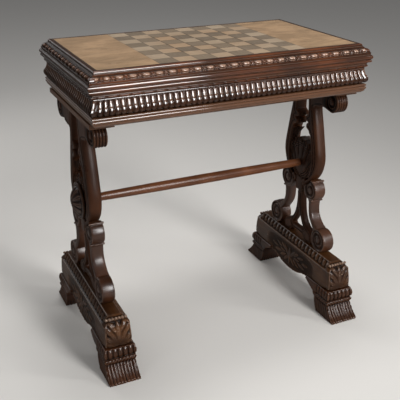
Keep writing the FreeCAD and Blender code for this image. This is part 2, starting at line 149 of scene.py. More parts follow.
# Gadroons, as shares of the pitch and of the way down the band. A bulb is where a lobe's end rounds off
gadroon_half_share = 0.44
gadroon_bulb_shares = (0.76, 0.98)
gadroon_top_share = 0.06
# Share of the way down the band over which the lower ends take painted shade
gadroon_dull_shade_shares = (0.46, 0.66)
slip_height_share = 0.5
slip_width_share = 0.04
slip_end_share = 0.84
corner_bulb_shares = (0.60, 0.98)

# Carved ends
end_cell = 1.4
pinch_fill = 0.1
arm_nose_round = 7
arm_edge_round = 3
arm_nose_bulge = 4
strap_bulge = 1
crocket_size = 9
crocket_sink = 11
crocket_pitch = 4.2
crocket_depth = 1.5
arm_groove_inset = 9.5
arm_groove_width = 1.3
arm_groove_depth = 1.8
volute_round = 3.5
volute_pitch = 12.5
volute_depth = 4.5
volute_rim = 3
volute_eye = 6
corbel_fade_share = 1.7
skirt_shares = (0.6, 0.8)
scroll_fade_share = 1.2
spiral_shade = 0.6
reed_pitch = 6.8
reed_depth = 1.6
strap_round = 7.5
fillet_radius = 2.8
fillet_angles = (62, -66)
fillet_out_share = 1.04
web_sink = 2.5
petal_count = 11
petal_depth = 3.5
petal_drop = 44
petal_start = 26
blade_pitch = 6
blade_reach = 20
wishbone_round = 8
wishbone_sink = 5.5
wishbone_trim = 3
wishbone_trim_shares = (0.2, 0.4)
wishbone_groove_inset = 6
boss_rim_height = 5
boss_dome_radius = 37
boss_button_radius = 8
boss_petals = 10
boss_petal_depth = 3.6
boss_tip_share = 0.78
boss_tip_wave_share = 0.18
boss_neck_share = 1.5
boss_ring_share = 1.2
boss_vein_height_share = 0.5
boss_vein_width_share = 0.16
boss_groove_share = 0.4
boss_steps = 36
boss_turns = 180

# Finish: joints, pores, wear with painted highlight on crowns, and painted shade in creases
joint_width = 3
pore_depth = 0.1
# How far below zero the crowns go that take wear and painted highlight
rub_and_highlight = 0.25
crown_share = 0.75
crease_bends = (0.1, 0.5)
crease_share = 0.95
crease_fade_share = 0.65
crease_reach = 2

# Carved runners
runner_cell = 1.7
runner_round = 2
beam_end_round = 11
chamfer_pitch = 17.5
chamfer_depth = 4.2
chamfer_slant = 8
panel_depth = 3
leaf_depth = 4.2
bead_count = 7
bead_radius = 3.8
foot_lobe_pitch = 12.6
foot_lobe_depth = 3.2
rope_pitch = 8.8
rope_depth = 2.4
flute_pitch = 8
flute_depth = 2.6
leaf_vein_width = 0.8
leaf_vein_share = 0.4

# Carved runners, as shares of the chamfer's, beam's, beads' and foot's own sizes and repeats.
# A shade is how much painted shade darkens a hollow, and a wear highlight is how much wear and painted
# highlight lighten a crown
chamfer_shares = (0.05, 0.95)
chamfer_half_share = 0.46
chamfer_length_share = 0.86
chamfer_shade = 0.7
chamfer_wear_highlight = 0.3
panel_length_share = 0.62
panel_middle_share = 0.18
panel_height_share = 0.5
panel_shade = 0.8
end_round_shares = (0.84, 0.92)
end_start_share = 0.93
end_middle_share = 0.45
# A beam's end takes wear and painted highlight on its upper part and painted shade on its lower part
end_upper_shares = (0.2, 0.7)
end_wear_highlight_shares = (0.4, 0.8)
low_end_shade = 0.4
bead_place_shares = (0.914, 0.935)
bead_pitch_share = 2.1
# The groove beside the beads takes painted shade, and the beads take wear and painted highlight
bead_groove_shares = (2.2, 1.6)
bead_wear_highlight = 0.3
foot_heel_share = 0.62
foot_lobe_half_share = 0.46
foot_lobe_round_share = 0.35
foot_lobe_top_share = 0.96
flute_half_share = 0.48
flute_top_share = 0.40

# Moulding outlines, as shares of the projection and of the drop from the top
lid_profile_shares = (
    ("to", (0, 0)),
    ("arc", (0.196, 0.024), (0.235, 0.108)),
    ("to", (0.333, 0.126)),
    ("to", (0.412, 0.18)),
    ("arc", (0.675, 0.225), (0.765, 0.342), "egg"),
    ("to", (0.824, 0.342)),
    ("to", (0.824, 0.45)),
    ("arc", (1, 0.553), (0.824, 0.65)),
    ("arc", (0.941, 0.712), (0.824, 0.775)),
    ("arc", (0.667, 0.8), (0.627, 0.88)),
    ("arc", (0.69, 0.928), (0.588, 0.975), "dash"),
    ("to", (0.51, 1)),
)
frieze_profile_shares = (
    ("to", (0.61, 0)),
    ("to", (0.61, 0.077)),
    ("arc", (0.69, 0.31), (0.9, 0.51), "gadroon"),
    ("arc", (1, 0.69), (0.76, 1), "gadroon"),
)
# Leaf tip inside each arm, as shares of the lyre's half width and height
arm_leaf_shares = ((0.62, 0.42), (0.42, 0.5), (0.13, 0.578), (0.38, 0.556), (0.56, 0.55))
# Opening of the wishbone, as shares of its half spread and height
wishbone_eye_shares = ((0, 0.57), (0.11, 0.45), (0.23, 0.33), (0.4, 0.21), (0.34, 0.186))
# Runner beam from the side and across, as shares of its half length, half width and height
beam_side_shares = (
    (0.863, 1), (0.907, 0.927), (0.94, 0.895), (0.964, 0.84), (0.98, 0.75), (0.99, 0.62),
    (1.002, 0.43), (1.008, 0.26), (1, 0),
)
beam_half_length = beam_high[1] / max(share for share, _ in beam_side_shares)
beam_notch_share = 0.478
beam_apron_shares = (
    (0.478, -0.107), (0.41, -0.121), (0.341, -0.147), (0.28, -0.205), (0.22, -0.267), (0.16, -0.3),
    (0.098, -0.32), (0, -0.333),
)
beam_section_shares = (
    (0.306, 1.15), (0.901, 0.76), (0.944, 0.76), (0.944, 0.727), (0.915, 0.713), (1, -0.4),
)
beam_chamfer_share = 0.76
# Foot from the side and from the front, as shares of its reach, half width and height
foot_side_shares = (
    ("to", (0.862, 1)),
    ("arc", (0.887, 0.817), (0.866, 0.659)),
    ("arc", (0.883, 0.585), (0.87, 0.512)),
    ("arc", (0.922, 0.268), (1, 0.073)),
    ("to", (1, 0)),
    ("to", (0.657, 0)),
    ("arc", (0.612, 0.268), (0.598, 0.525)),
    ("arc", (0.512, 0.768), (0.41, 0.902)),
    ("to", (0.41, 1)),
)
foot_front_shares = (
    ("to", (0.916, 1.2)),
    ("to", (0.916, 1)),
    ("arc", (1, 0.817), (0.928, 0.659)),
    ("arc", (0.976, 0.585), (0.928, 0.512)),
    ("to", (0.976, -0.2)),
)
# Leaves of a beam's side: place along and above the middle, tilt from upright, length and half width
side_leaves = (
    (0, 0, 0, 54, 11), (15, 9, 42, 40, 7), (15, -12, 128, 34, 7), (32, 16, 62, 34, 7), (34, -10, 112, 36, 7),
    (37, 3, 86, 30, 6), (56, 15, 74, 34, 6), (60, -6, 100, 40, 7), (80, 5, 84, 34, 6),
)
# Leaves of a beam's end, in the same terms
end_leaves = (
    (0, 4, 0, 60, 11), (13, -3, 28, 56, 9), (20, -13, 52, 50, 9), (20, -24, 78, 40, 8), (27, 14, 40, 36, 8),
    (14, 22, 32, 46, 8),
)

# Grain runs along one axis: the noise is stretched along it
along_x, along_y, along_z = (0.08, 1, 1), (1, 0.08, 1), (1, 1, 0.08)
short_grain = (0.4, 1, 1)
# Scale and strength of the streaks
plain_figure, quiet_figure, fine_figure = (40, 0.5), (40, 0.25), (60, 0.5)
cloudy_figure, raw_figure = (30, 0.9), (60, 0.6)
noise_detail = 4
streak_swirl = 0.8
drift_scale = 11
drift_swirl = 0.4
pore_scale = 300
patch_scale = 180
scratch_scale = 500
coat_index = 2.8

# Dark, light and worn colour of each wood, and what the board's squares lean to. The worn colour also paints
# highlights on crowns and edges
dark_brown = (0.016, 0.0055, 0.0022)
carved_colours = (dark_brown, (0.052, 0.017, 0.0058), (0.13, 0.06, 0.03))
lid_colours = (dark_brown, (0.11, 0.031, 0.0085), (0.3, 0.185, 0.13))
beam_colours = (dark_brown, (0.078, 0.03, 0.009), (0.26, 0.175, 0.125))
turned_colours = ((0.05, 0.017, 0.007), (0.14, 0.05, 0.019), (0.16, 0.06, 0.03))
light_square_colours = ((0.225, 0.167, 0.106), (0.375, 0.294, 0.206), (0.36, 0.28, 0.2))
light_square_lean = (0.33, 0.195, 0.098)
dark_square_colours = ((0.104, 0.075, 0.052), (0.182, 0.14, 0.099), (0.18, 0.14, 0.1))
dark_square_lean = (0.24, 0.175, 0.114)
veneer_colours = ((0.105, 0.072, 0.04), (0.4, 0.26, 0.148), (0.37, 0.24, 0.14))
border_colours = ((0.012, 0.007, 0.005), (0.04, 0.02, 0.012), (0.05, 0.03, 0.02))
inner_colours = ((0.11, 0.058, 0.028), (0.22, 0.13, 0.068), (0.22, 0.13, 0.07))
# Bright and tarnished colour of each metal
brass_colours = ((0.48, 0.33, 0.12), (0.18, 0.11, 0.045))
steel_colours = ((0.32, 0.31, 0.3), (0.12, 0.105, 0.095))
floor_colour = (0.64, 0.62, 0.59, 1)
world_colour = (0.97, 0.98, 1, 1)


def new_object(name, points, quads, rings=(), hollow=None):
    """Mesh object from points in millimetres, four-cornered faces and rings closed by one face each.
    hollow tells how deep in the carving each point lies, up to one, and how much painted shade it takes, and
    is below zero on crowns that take wear and painted highlight."""
    mesh = bpy.data.meshes.new(name)
    faces = np.asarray(quads).tolist() + [np.asarray(ring).tolist() for ring in rings]
    mesh.from_pydata(np.asarray(points) * mm, [], faces, shade_flat=False)
    if hollow is not None:
        layer = mesh.attributes.new("hollow", "FLOAT", "POINT")
        layer.data.foreach_set("value", np.asarray(hollow, np.float32))
    made = bpy.data.objects.new(name, mesh)
    scene.collection.objects.link(made)
    return made


def add_piece(node, body, material, shape, flip=(1, 1)):
    """Carved piece for one solid, mirrored in X and Y where flip says so."""
    points, quads, rings, hollow = shape
    points = np.asarray(points) * (flip[0], flip[1], 1)
    if flip[0] * flip[1] < 0:
        quads = np.asarray(quads)[:, ::-1]
        rings = [ring[::-1] for ring in rings]
    made = new_object(node + "_carved", points, quads, rings, hollow)
    made.data.materials.append(material)
    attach(made, body)
    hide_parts(node)


def arc_points(start, middle, end, step):
    """Points after the start along the arc through three points of a plane."""
    a, b, c = (complex(*point) for point in (start, middle, end))
    w = (c - a) / (b - a)
    if abs(w.imag) < straight_limit:
        count = max(1, round(abs(c - a) / step))
        turned = [a + (c - a) * k / count for k in range(1, count + 1)]
    else:
        centre = a + (b - a) * (w - abs(w) ** 2) / (2j * w.imag)
        angle = np.angle((c - centre) / (a - centre))
        middle_angle = np.angle((b - centre) / (a - centre))
        if middle_angle * angle < 0 or abs(middle_angle) > abs(angle):
            angle -= 2 * math.pi * np.sign(angle)
        count = max(2, round(abs(angle) * abs(a - centre) / step))
        turned = [centre + (a - centre) * np.exp(1j * angle * k / count) for k in range(1, count + 1)]
    return [(point.real, point.imag) for point in turned]


def trace(shares, place, step):
    """Samples an outline of lines and arcs: its points and the name of the band that each lies in."""
    points, names = [], []
    for kind, *rest in shares:
        name = rest.pop() if isinstance(rest[-1], str) else ""
        stops = [place(*share) for share in rest]
        if not points:
            new = stops
        elif kind == "arc":
            new = arc_points(points[-1], stops[0], stops[1], step)
        else:
            new = arc_points(points[-1], tuple((np.array(points[-1]) + stops[0]) / 2), stops[0], step)
        points += new
        names += [name] * len(new)
    return np.array(points), names


def tube(count, around):
    """Faces between rings of points in a row, and the first and last ring, which close it."""
    index = np.arange(count).reshape(-1, around)
    right = np.roll(index, -1, 1)
    quads = np.stack([index[:-1], index[1:], right[1:], right[:-1]], 2).reshape(-1, 4)
    return quads, [index[0], index[-1][::-1]]


def swept_sides(shares, projection, height, top, inner, carve):
    """Front and left lengths of a carved moulding round the field, mitred at the corners.
    inner lists the profile's hidden points and carve gives how deep the carving goes."""
    outer, names = trace(shares, lambda o, d: (o * projection, top - d * height), moulding_step)
    profile = np.concatenate([outer, inner])
    profile[:, 1] = np.minimum(profile[:, 1], top)
    names += [""] * len(inner)
    before, after = np.roll(profile, 1, 0), np.roll(profile, -1, 0)
    run = after - before
    normal = np.stack([-run[:, 1], run[:, 0]], 1) / np.linalg.norm(run, axis=1)[:, None]
    first, last = profile - before, after - profile
    bend = first[:, 0] * last[:, 1] - first[:, 1] * last[:, 0]
    bend = bend / np.linalg.norm(first, axis=1) / np.linalg.norm(last, axis=1)
    # Painted shade along the profile's creases, spread to the neighbouring rows
    crease = crease_share * share_of(bend, *crease_bends)
    for _ in range(crease_reach):
        crease = np.maximum(crease, crease_fade_share * np.maximum(np.roll(crease, 1), np.roll(crease, -1)))
    sides = {}
    for side, half, other in (("front", field_half_length, field_half_depth),
                              ("left", field_half_depth, field_half_length)):
        reach = half + projection
        columns = round(2 * reach / moulding_step)
        along = np.linspace(-reach, reach, columns + 1)
        depth, hollow = carve(along, half, names)
        out = profile[:, 0] - normal[:, 0] * depth
        up = profile[:, 1] - normal[:, 1] * depth
        core = half - moulding_corner
        past = np.maximum(np.abs(along) - core, 0)[:, None]
        x = np.clip(along, -core, core)[:, None]
        x = x + np.sign(along)[:, None] * past * (half + out - core) / (reach - core)
        points = np.stack([x, -other - out, up], 2).reshape(-1, 3)
        quads, rings = tube(len(points), len(profile))
        if side == "left":
            points = np.stack([points[:, 1], -points[:, 0], points[:, 2]], 1)
        # The creases take painted shade
        hollow = np.where(crease > 0, np.maximum(hollow, crease), hollow)
        sides[side] = (points, quads, rings, hollow.ravel())
    return sides


def add_mouldings(kind, body, material, sides):
    """All four lengths of a moulding, the back and right ones as mirror twins."""
    pairs = (("front", "back", (1, -1), material), ("left", "right", (-1, 1), carved_y))
    for side, twin, flip, finish in pairs:
        add_piece(kind + "_" + side, body, finish, sides[side])
        add_piece(kind + "_" + twin, body, finish, sides[side], flip)


def share_of(value, start, end):
    """How far a value has gone from start to end, held between zero and one."""
    return np.clip((value - start) / (end - start), 0, 1)


def dome(e):
    """Height of a round-backed lobe where e is the squared share of the way to its edge."""
    return np.sqrt(np.clip(1 - e, 0, 1))


def crown(raised):
    """How much wear and painted highlight the top of a raised shape takes."""
    return rub_and_highlight * share_of(raised, crown_share, 1)


def ridge(value, width):
    """Soft ridge, one on the line where value is zero."""
    return np.exp(-(value / width) ** 2)


def unit(along, pitch):
    """Place in a repeat that is centred on zero, from minus a half to a half."""
    return (along / pitch + 0.5) % 1 - 0.5


def fitted_pitch(length, pitch):
    """Nearest pitch that fits a whole number of repeats into a length."""
    return length / max(1, round(length / pitch))


def band(names, name):
    """Which rows of a profile carry a carved band, and their share of the way across it."""
    rows = np.array([one == name for one in names])
    across = np.zeros(len(names))
    across[rows] = np.linspace(0, 1, rows.sum())
    return rows[None, :], across[None, :]


def carve_lid(along, half, names):
    """Egg and dart over a row of long beads: depth, and how hollow it is for painted shade, less where the
    eggs, shells and darts take wear and painted highlight.
    """
    on_egg, t = band(names, "egg")
    end = half + lid_projection / 2
    p = unit(along + egg_pitch / 2, fitted_pitch(2 * end, egg_pitch))[:, None]
    q = t - egg_middle_share
    e = (p / egg_half_width_share) ** 2 + (q / egg_half_height_share) ** 2
    shell = rib_height_share * ridge(np.sqrt(e) - shell_place_share, shell_width_share)
    shell = shell * (q > shell_top_share)
    dart_width = dart_tip_share + dart_flare_share * (1 - t)
    dart = rib_height_share * ridge(np.abs(p) - 0.5, dart_width) * (t < dart_end_share)
    raised = np.maximum(np.maximum(dome(e), shell), dart)
    fade = np.sin(math.pi * np.clip(t, *egg_fade_shares)) ** 0.2
    egg = np.where(on_egg, (1 - raised) * fade, 0)
    # Wear and painted highlight on the eggs' crowns, the shells and the darts
    worn_and_lit = np.maximum(share_of(dome(e), *egg_wear_highlight_shares), np.maximum(shell_wear_highlight * shell, dart_wear_highlight * dart))
    worn_and_lit = np.where(on_egg, worn_and_lit, 0)
    on_dash, t = band(names, "dash")
    p = unit(along, fitted_pitch(2 * end, dash_pitch))[:, None]
    dash = np.where(on_dash, (1 - dome((p / dash_half_share) ** 8)) * np.sin(math.pi * t), 0)
    inside = (np.abs(along) < end)[:, None]
    hollow = np.maximum(egg * (1 - worn_and_lit), dash) - rub_and_highlight * worn_and_lit
    return (egg_depth * egg + dash_depth * dash) * inside, hollow * inside


def carve_frieze(along, half, names):
    """Gadroons with round lower ends, darkened by painted shade and duller, thin ridges between them and a
    leaf at each corner.
    """
    rows, t = band(names, "gadroon")
    leaf_start = half + frieze_projection - corner_leaf
    p = unit(along + gadroon_pitch / 2, fitted_pitch(2 * leaf_start, gadroon_pitch))[:, None]
    low, high = share_of(t, *gadroon_bulb_shares), share_of(t, gadroon_top_share, 0)
    lobe = dome(np.abs(p / gadroon_half_share) ** 3 + low ** 2 + high ** 2)
    slip = slip_height_share * ridge(np.abs(p) - 0.5, slip_width_share) * (t < slip_end_share)
    carved = 1 - np.maximum(lobe, slip)
    corner = (np.abs(along) - leaf_start)[:, None] / corner_leaf
    leaf_back = dome(share_of(t, *corner_bulb_shares) ** 2 + (1 - np.clip(corner, 0, 1)) ** 2)
    carved = np.where(corner > 0, 1 - leaf_back, carved)
    carved = np.where(rows, carved, 0)
    # Lower ends take painted shade and a thinner coat, and the crowns above them wear and painted highlight
    dull_shade = np.where(rows, gadroon_dull_shade * share_of(t, *gadroon_dull_shade_shares), 0)
    hollow = np.maximum(carved, dull_shade) - np.where(rows & (dull_shade == 0), crown(1 - carved), 0)
    return gadroon_depth * carved, hollow


def surface(field):
    """Points, in grid steps, and faces of the surface where a sampled field changes sign."""
    inside = field < 0
    cells = tuple(count - 1 for count in field.shape)
    filled = np.zeros(cells, np.int8)
    for corner in np.ndindex(2, 2, 2):
        filled += inside[tuple(slice(c, c + count) for c, count in zip(corner, cells))]
    active = (filled > 0) & (filled < 8)
    place = np.argwhere(active)
    index = np.full(cells, -1, np.int64)
    index[active] = np.arange(len(place))
    total = np.zeros((len(place), 3))
    hits = np.zeros(len(place))
    for axis in range(3):
        others = [other for other in range(3) if other != axis]
        for shift in np.ndindex(2, 2):
            start = place.copy()
            start[:, others] += shift
            end = start.copy()
            end[:, axis] += 1
            first, last = field[tuple(start.T)], field[tuple(end.T)]
            crossed = (first < 0) != (last < 0)
            point = start.astype(float)
            point[:, axis] += np.where(crossed, first / np.where(crossed, first - last, 1), 0)
            total += point * crossed[:, None]
            hits += crossed
    faces = []
    for axis in range(3):
        b, c = (axis + 1) % 3, (axis + 2) % 3
        near, far = [slice(1, -1)] * 3, [slice(1, -1)] * 3
        near[axis], far[axis] = slice(0, -1), slice(1, None)
        first, last = inside[tuple(near)], inside[tuple(far)]
        for leaving, order in ((first & ~last, 1), (last & ~first, -1)):
            at = np.argwhere(leaving)
            ring = []
            for shift_b, shift_c in ((0, 0), (1, 0), (1, 1), (0, 1)):
                one = at.copy()
                one[:, b] += shift_b
                one[:, c] += shift_c
                ring.append(index[tuple(one.T)])
            faces.append(np.stack(ring, 1)[:, ::order])
    return total / hits[:, None], np.concatenate(faces)


def unpinched(field):
    """Field filled a little where its surface would meet itself along an edge, and freed of specks."""
    pinched = True
    while pinched:
        pinched = False
        for axis in range(3):
            plane = np.moveaxis(field, axis, 0)
            _, rows, columns = plane.shape
            corners = [plane[:, a:a + rows - 1, b:b + columns - 1] for a, b in np.ndindex(2, 2)]
            first, second, third, fourth = (corner < 0 for corner in corners)
            crossed = (first == fourth) & (second == third) & (first != second)
            pinched = pinched or crossed.any()
            for corner in corners:
                corner[crossed & (corner >= 0)] = -pinch_fill
    inside = field < 0
    alone = np.ones(field.shape, bool)
    for axis in range(3):
        for shift in (1, -1):
            alone &= np.roll(inside, shift, axis) != inside
    return np.where(alone, -field, field)


def sampled(low, high, step, make_field):
    """Shape of a field over a box, with two cells of air round it, and how hollow its carving is."""
    start = np.asarray(low) - 2 * step
    counts = np.ceil((np.asarray(high) - low) / step).astype(int) + 5
    x, y, z = (start[axis] + step * np.arange(counts[axis]) for axis in range(3))
    field, hollow = make_field(x, y, z)
    places, quads = surface(unpinched(field.astype(np.float32)))
    nearest = tuple(np.rint(places).astype(int).T)
    return start + step * places, quads, (), np.broadcast_to(hollow, field.shape)[nearest]


def node_outline(node, side):
    """Edges, as (y, z) pairs, round the flat lower (0) or upper (1) X face of a solid."""
    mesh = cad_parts[node].data
    mesh.calc_loop_triangles()
    places = np.array([corner.co for corner in mesh.vertices], np.float32)
    places = np.round(places / mm, 3)
    triangles = np.array([list(triangle.vertices) for triangle in mesh.loop_triangles])
    flat = np.abs(places[:, 0] - node_box(node)[side][0]) < skin / 10
    edges = {}
    for triangle in triangles[flat[triangles].all(1)]:
        ends = [tuple(places[corner, 1:]) for corner in triangle]
        for a, b in zip(ends, ends[1:] + ends[:1]):
            key = frozenset((a, b))
            if key in edges:
                del edges[key]
            else:
                edges[key] = (a, b)
    return np.array(list(edges.values()))


def placed(shares, across, rise, base):
    """Outline points from shares of a width and of a height above a base."""
    return [(across * a, base + rise * b) for a, b in shares]


def mirrored(points):
    """Outline that goes on along its own mirror image, back to where it starts."""
    return list(points) + [(-across, up) for across, up in reversed(points)]


def closed(points):
    """Edges of a closed outline."""
    points = np.asarray(points)
    return np.stack([points, np.roll(points, -1, 0)], 1)


def outline_distance(edges, across, up):
    """Distance from an outline on a grid of its plane, below zero inside it."""
    a, b = across[:, None], up[None, :]
    nearest, inside = np.inf, False
    for (a0, b0), (a1, b1) in edges:
        da, db = a1 - a0, b1 - b0
        length = da * da + db * db
        if length == 0:
            continue
        share = np.clip(((a - a0) * da + (b - b0) * db) / length, 0, 1)
        nearest = np.minimum(nearest, (a - a0 - share * da) ** 2 + (b - b0 - share * db) ** 2)
        if b0 != b1:
            inside ^= ((b0 > b) != (b1 > b)) & (a < a0 + (b - b0) * da / db)
    return np.sqrt(nearest) * np.where(inside, -1, 1)


def round_edge(first, second, radius):
    """Space inside both fields, with the edge where they meet rounded."""
    a, b = first + radius, second + radius
    return np.minimum(np.maximum(a, b), 0) + np.hypot(np.maximum(a, 0), np.maximum(b, 0)) - radius


def volute(y, z, eye, radius, hand):
    """Spiral channel on a drum's face, one at its deepest, and each point's distance from the eye."""
    dy, dz = y - eye[0], z - eye[1]
    out = np.hypot(dy, dz)
    turn = out / volute_pitch + hand * np.arctan2(dz, dy) / (2 * math.pi)
    channel = np.abs(np.sin(math.pi * turn)) ** 0.8
    past_eye = share_of(out, volute_eye, volute_eye + volute_rim)
    within_rim = share_of(out, radius - volute_rim, radius - 2 * volute_rim)
    return channel * (past_eye * within_rim), out


def past_body(edge, y, z, size):
    """How far each point of an outline's plane lies out of its body.
    Pieces narrower than twice the size don't count as body."""
    gy, gz = y[:, None], z[None, :]
    core = np.argwhere((edge < -size) & (edge > -size - 2 * end_cell))
    nearest = np.inf
    for row, column in core:
        nearest = np.minimum(nearest, (gy - y[row]) ** 2 + (gz - z[column]) ** 2)
    return np.where(edge < -size, 0, np.maximum(np.sqrt(nearest) - size, 0))


def flat_end(x, edge, relief, rounding):
    """Piece of a lyre end: an outline with rounded edges, its two faces sunk by the relief."""
    thick = np.abs(x - end_centre)[:, None, None] - (end_half - relief)[None]
    return round_edge(np.broadcast_to(edge, thick.shape), thick, rounding)


def arm_field(x, y, z):
    """Bowed arm with a lined face, under a reeded corbel drum with a spiral on each face."""
    edge = outline_distance(node_outline("lyre_arm_front_right", 0), y, z)
    gy, gz = y[:, None], z[None, :]
    eye = (arm_low[1] + corbel_radius, arm_high[2] - corbel_radius)
    spiral, out = volute(gy, gz, eye, corbel_radius, 1)
    drum = share_of(out / corbel_radius, corbel_fade_share, 1)
    line = ridge(-edge - arm_groove_inset, arm_groove_width) * (1 - drum)
    inside = edge < 0
    middle = np.sum(gy * inside, 0) / np.maximum(inside.sum(0), 1)
    nose = (gy < middle) * (1 - drum)
    tip = placed(arm_leaf_shares, -lyre_half_width, arm_high[2] - web_low[2], web_low[2])
    edge = np.minimum(edge, outline_distance(closed(tip), y, z))
    rounding = arm_nose_round * nose + arm_edge_round * (gy >= middle) * (1 - drum) + volute_round * drum
    across = ((x - end_centre) / end_half)[:, None, None]
    bulge = arm_nose_bulge * across ** 2 * nose
    reeds = 1 - np.abs(np.cos(math.pi * (x - end_centre) / reed_pitch))
    skirt = drum * share_of(out / corbel_radius, *skirt_shares)
    reeds = reeds[:, None, None] * skirt
    beyond = past_body(edge, y, z, crocket_size) * (gy > middle) * (1 - drum)
    leaf_line = np.abs(np.sin(math.pi * beyond / crocket_pitch)) * share_of(beyond, 0, crocket_pitch)
    sunk = crocket_sink * share_of(beyond, 0, crocket_pitch) + crocket_depth * leaf_line
    relief = arm_groove_depth * line + volute_depth * spiral + sunk
    field = flat_end(x, edge + reed_depth * reeds + bulge, relief, rounding)
    # The reeds, leaf lines, face line and spirals take painted shade
    return field, np.maximum(np.maximum(reeds, leaf_line), np.maximum(line, spiral))


def web_field(x, y, z):
    """Palmette in the lyre's bowl, lower than the arms, with leaf blades along its sides."""
    edge = outline_distance(node_outline("lyre_web_right", 1), y, z)
    gy, gz = y[:, None], z[None, :]
    fan = hub_height - petal_drop
    out = np.hypot(gy, gz - fan)
    angle = np.arctan2(gy, gz - fan)
    petals = 1 - np.abs(np.cos(petal_count * angle)) ** 0.5
    petals = petals * share_of(out, petal_start, 2 * petal_start) * (gz > fan)
    blades = np.abs(np.sin(math.pi * edge / blade_pitch)) ** 2 * (-edge < blade_reach) * (gz > fan)
    from_hub = np.hypot(gy, gz - hub_height)
    carved = np.maximum(petals, blades) * share_of(from_hub, petal_start / 2, petal_start)
    # The carving's hollows take painted shade
    return flat_end(x, edge, web_sink + petal_depth * carved, volute_round), carved


def scroll_field(x, y, z):
    """C-scroll: spirals on both drums' faces, a round-nosed strap and fillets where they meet."""
    edge = outline_distance(node_outline("scroll_front_right", 0), y, z)
    gy, gz = y[:, None], z[None, :]
    top_eye = (scroll_high[1] - scroll_top_radius, scroll_high[2] - scroll_top_radius)
    foot_eye = (scroll_low[1] + scroll_foot_radius, scroll_low[2] + scroll_foot_radius)
    top_spiral, top_out = volute(gy, gz, top_eye, scroll_top_radius, -1)
    foot_spiral, foot_out = volute(gy, gz, foot_eye, scroll_foot_radius, 1)
    drum = np.maximum(share_of(top_out / scroll_top_radius, scroll_fade_share, 1),
                      share_of(foot_out / scroll_foot_radius, scroll_fade_share, 1))
    rounding = strap_round * (1 - drum) + volute_round * drum
    carved = np.maximum(top_spiral, foot_spiral)
    bulge = strap_bulge * (((x - end_centre) / end_half) ** 2)[:, None, None]
    field = flat_end(x, edge + bulge, volute_depth * carved, rounding)
    ends = np.abs(x - end_centre)[:, None, None] - end_half - fillet_radius / 2
    for angle in fillet_angles:
        turn = math.radians(angle)
        off = fillet_out_share * scroll_top_radius
        bar = np.hypot(gy - top_eye[0] + off * math.cos(turn), gz - top_eye[1] - off * math.sin(turn))
        field = np.minimum(field, round_edge(bar[None] - fillet_radius, ends, fillet_radius / 3))
    # The spirals take painted shade
    return field, spiral_shade * carved


def wishbone_field(x, y, z):
    """Forked stem, slimmer than the scrolls, with rounded edges and a line along them."""
    edge = outline_distance(node_outline("wishbone_right", 0), y, z)
    spread, rise = wishbone_high[1], wishbone_high[2] - wishbone_low[2]
    eye = mirrored(placed(wishbone_eye_shares, spread, rise, wishbone_low[2]))
    above = share_of((z - wishbone_low[2]) / rise, *wishbone_trim_shares)[None, :]
    edge = np.maximum(edge + wishbone_trim * above, -outline_distance(closed(eye), y, z))
    line = ridge(-edge - wishbone_groove_inset, arm_groove_width)
    # The line along the edges takes painted shade
    return flat_end(x, edge, wishbone_sink + arm_groove_depth * line, wishbone_round), line


def make_boss():
    """Round boss: ringed rim, veined petals over the dome and a button in the middle."""
    radius = boss_high[1]
    rise = boss_high[0] - boss_low[0] - boss_rim_height
    ball = (boss_dome_radius ** 2 + rise ** 2) / (2 * rise)
    r = np.linspace(radius / boss_steps, radius, boss_steps * 2)[:, None]
    turn = np.linspace(0, 2 * math.pi, boss_turns, endpoint=False)[None, :]
    cap = np.sqrt(np.clip(ball ** 2 - r ** 2, 0, None)) - (ball - rise)
    petal = np.abs(np.cos(boss_petals * turn / 2))
    vein = boss_vein_height_share * ridge(np.sin(boss_petals * turn / 2), boss_vein_width_share)
    on_petals = share_of(r / boss_button_radius, 1, boss_neck_share)
    tip = boss_dome_radius * (boss_tip_share + boss_tip_wave_share * petal)
    past_tip = share_of(r, tip, tip + boss_rim_height / 2)
    ring = ridge(r - boss_ring_share * boss_button_radius, boss_button_radius / 5)
    carved = np.maximum(on_petals * np.maximum(1 - petal ** 0.5, vein), np.maximum(past_tip, ring))
    dome_height = np.maximum(boss_rim_height + cap - boss_petal_depth * carved, boss_rim_height / 4)
    rings = np.abs(np.sin(2 * math.pi * (r - boss_dome_radius) / (radius - boss_dome_radius)))
    on_dome = r < boss_dome_radius
    rim_height = boss_rim_height - boss_groove_share * boss_rim_height * (1 - rings)
    height = np.where(on_dome, dome_height, rim_height)
    # Painted shade in the petals' hollows, past their tips and in the rim's grooves; wear and painted
    # highlight on the petals' crowns
    hollow = np.where(on_dome, carved - crown(1 - carved) * on_petals, 1 - rings)
    points = np.stack(np.broadcast_arrays(
        boss_low[0] + height, r * np.cos(turn), hub_height + r * np.sin(turn)), 2)
    back = points[-1] * (0, 1, 1) + (boss_low[0], 0, 0)
    points = np.concatenate([points.reshape(-1, 3), back])
    hollow = np.concatenate([(hollow + 0 * turn).ravel(), np.zeros(boss_turns)])
    quads, rings = tube(len(points), boss_turns)
    return points, quads, rings, hollow


def leaf(a, b, tilt, length, width):
    """Tilted almond leaf: how far it is raised, less along its vein."""
    turn = math.radians(tilt)
    u = a * math.cos(turn) + b * math.sin(turn)
    v = b * math.cos(turn) - a * math.sin(turn)
    half = width * np.clip(1 - (2 * u / length) ** 2, 0.001, 1)
    body = np.clip(1 - np.abs(v) / half, 0, 1) * (np.abs(u) < length / 2)
    return body ** 0.75 * (1 - leaf_vein_share * ridge(v, leaf_vein_width))


def spray(across, up, leaves):
    """Raised leaves on both sides of a middle line, from zero on the ground to one."""
    raised = 0
    for off, lift, tilt, length, width in leaves:
        raised = np.maximum(raised, leaf(up - lift, np.abs(across) - off, tilt, length, width))
    return raised


